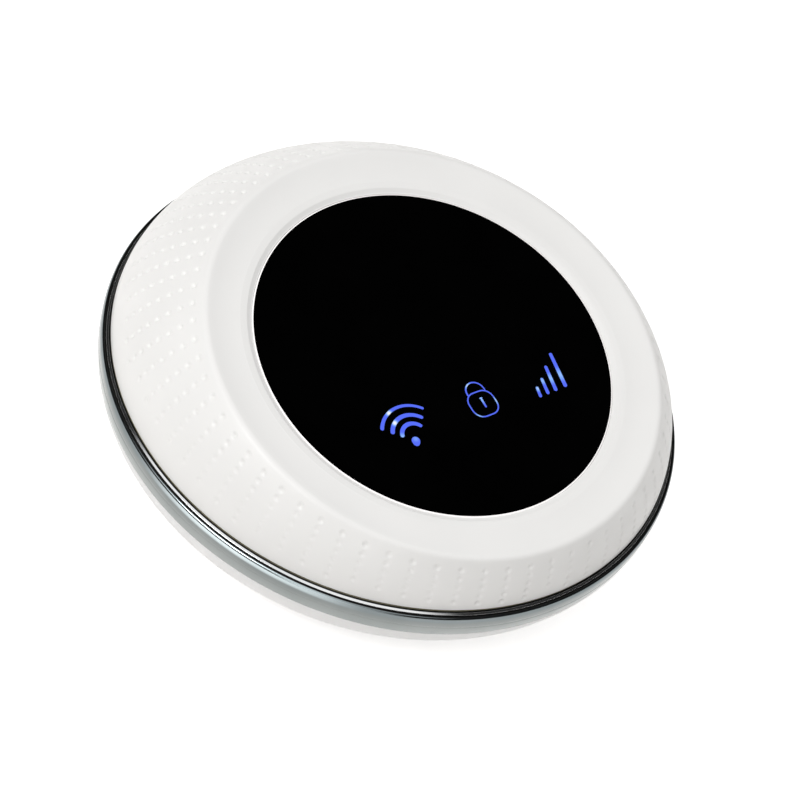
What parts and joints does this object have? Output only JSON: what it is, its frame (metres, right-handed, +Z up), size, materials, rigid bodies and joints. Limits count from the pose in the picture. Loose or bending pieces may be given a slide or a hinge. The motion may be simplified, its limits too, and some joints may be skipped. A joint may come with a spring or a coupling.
{
  "type": "mobile hotspot",
  "caption": "Round battery-powered wireless hotspot with a tilted glossy window, dimpled domed shell, bright trim band, ports at the back and a removable battery cover.",
  "frame": {"origin": "centre of the footprint on the surface that the rubber feet stand on, under the middle of the round trim band", "axes": "+Z up; +Y towards the high side of the tilted face, where the ports are; the user sits on the -Y side; +X to the user's right"},
  "size_m": [0.09, 0.09, 0.0318],
  "materials": {
    "white_shell": "smooth white moulded ABS",
    "bowl_white": "smooth white moulded ABS",
    "black_window": "polished black-backed acrylic",
    "trim_chrome": "bright plated ABS",
    "tape_grey": "foam adhesive tape",
    "mask_black": "printed black film",
    "clear_acrylic": "clear acrylic",
    "led_white": "lamp body",
    "board_green": "green solder mask",
    "chip_black": "moulded epoxy",
    "can_steel": "tinned sheet steel",
    "port_steel": "stamped nickel-plated steel",
    "tongue_black": "moulded contact tongue",
    "button_grey": "satin plated button",
    "switch_black": "moulded switch body",
    "tray_grey": "moulded grey tray",
    "card_white": "plain card",
    "carrier_grey": "moulded carrier",
    "antenna_copper": "copper foil",
    "battery_silver": "wrapped pouch cell",
    "contact_gold": "gold-plated contacts in a block",
    "screw_steel": "zinc-plated steel",
    "foot_rubber": "moulded rubber"
  },
  "bodies": {
    "housing": {"top_shell": "white_shell", "display_lens": "black_window", "lens_tape": "tape_grey", "icon_mask": "mask_black", "light_guide": "clear_acrylic", "status_leds": "led_white", "chrome_band": "trim_chrome", "bottom_shell": "bowl_white", "battery_contacts": "contact_gold", "main_board": "board_green", "modem_chip": "chip_black", "radio_chip": "chip_black", "modem_shield": "can_steel", "radio_shield": "can_steel", "usb_port": "port_steel", "usb_tongue": "tongue_black", "power_switch": "switch_black", "pairing_switch": "switch_black", "reset_switch": "switch_black", "sim_socket": "port_steel", "antenna_carrier": "carrier_grey", "main_antenna": "antenna_copper", "diversity_antenna": "antenna_copper", "wifi_antenna": "antenna_copper", "housing_screws": "screw_steel", "rubber_feet": "foot_rubber"},
    "power_button": {"power_button": "button_grey", "power_plunger": "switch_black"},
    "pairing_button": {"pairing_button": "button_grey", "pairing_plunger": "switch_black"},
    "sim_tray": {"sim_tray": "tray_grey", "sim_card": "card_white"},
    "battery_cover": {"battery_cover": "bowl_white", "battery_pack": "battery_silver"}
  },
  "joints": [
    {"name": "power_button_press", "type": "slide", "parent": "housing", "child": "power_button", "axis": [-0.4067, -0.9135, 0], "range_m": [0, 0.0004], "stiffness_N_per_m": 1500},
    {"name": "pairing_button_press", "type": "slide", "parent": "housing", "child": "pairing_button", "axis": [0.4067, -0.9135, 0], "range_m": [0, 0.0004], "stiffness_N_per_m": 1500},
    {"name": "sim_tray_slide", "type": "slide", "parent": "housing", "child": "sim_tray", "axis": [1, 0, 0], "range_m": [0, 0.0175]},
    {"name": "battery_cover_pull", "type": "slide", "parent": "housing", "child": "battery_cover", "axis": [0, 0, -1], "range_m": [0, 0.012]}
  ]
}
